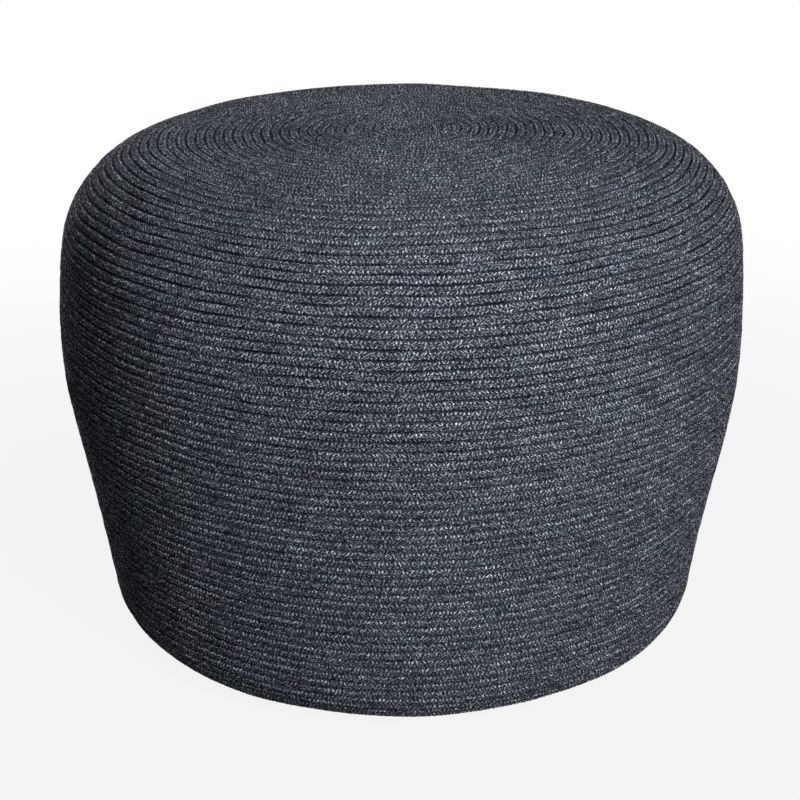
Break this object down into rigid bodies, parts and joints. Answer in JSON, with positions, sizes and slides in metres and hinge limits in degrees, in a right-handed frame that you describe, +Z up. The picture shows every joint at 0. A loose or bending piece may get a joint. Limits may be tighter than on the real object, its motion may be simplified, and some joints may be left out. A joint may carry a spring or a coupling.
{
  "type": "outdoor ottoman footstool",
  "caption": "Round soft outdoor footstool: a braided cord cover sewn in a spiral over a lined foam core, with a zip and rubber feet underneath.",
  "frame": {"origin": "on the floor, under the middle of the body, at the soles of the feet", "axes": "+Z up, towards the crown; -Y towards the picture's viewer, where the fixed seam of the underside lies; +X to the viewer's right"},
  "size_m": [0.54, 0.54, 0.4014],
  "materials": {
    "cord": "matte",
    "liner": "satin",
    "wadding": "matte",
    "soft_foam": "matte",
    "firm_foam": "matte",
    "board": "matte",
    "cloth": "matte",
    "tape": "matte",
    "teeth": "satin",
    "zinc": "satin",
    "rubber": "matte",
    "steel": "satin"
  },
  "bodies": {
    "ottoman": {"cord_cover": "cord", "liner_bag": "liner", "liner_draw_cord": "tape", "wadding_wrap": "wadding", "comfort_pad": "soft_foam", "foam_core": "firm_foam", "base_board": "board", "base_cloth": "cloth", "drain_eyelet_1": "zinc", "drain_eyelet_2": "zinc", "drain_eyelet_3": "zinc", "drain_eyelet_4": "zinc", "foot_1": "rubber", "foot_washer_1": "steel", "foot_screw_1": "steel", "threaded_insert_1": "steel", "foot_2": "rubber", "foot_washer_2": "steel", "foot_screw_2": "steel", "threaded_insert_2": "steel", "foot_3": "rubber", "foot_washer_3": "steel", "foot_screw_3": "steel", "threaded_insert_3": "steel", "foot_4": "rubber", "foot_washer_4": "steel", "foot_screw_4": "steel", "threaded_insert_4": "steel", "foot_5": "rubber", "foot_washer_5": "steel", "foot_screw_5": "steel", "threaded_insert_5": "steel", "zip_tape_outer": "tape", "zip_tape_inner": "tape", "seam_band": "tape", "zip_teeth_outer": "teeth", "zip_top_stop_outer": "zinc", "zip_teeth_inner": "teeth", "zip_top_stop_inner": "zinc", "zip_bottom_stop": "zinc"},
    "slider": {"zip_slider": "zinc"},
    "pull": {"zip_pull": "zinc"}
  },
  "joints": [
    {"name": "zip_slide", "type": "hinge", "parent": "ottoman", "child": "slider", "pos_m": [0, 0, 0], "axis": [0, 0, 1], "range_deg": [0, 291.3]},
    {"name": "pull_flip", "type": "hinge", "parent": "slider", "child": "pull", "pos_m": [0.10941, -0.16034, 0.00925], "axis": [-0.5637, 0.826, 0], "range_deg": [-17.8, 162]}
  ]
}
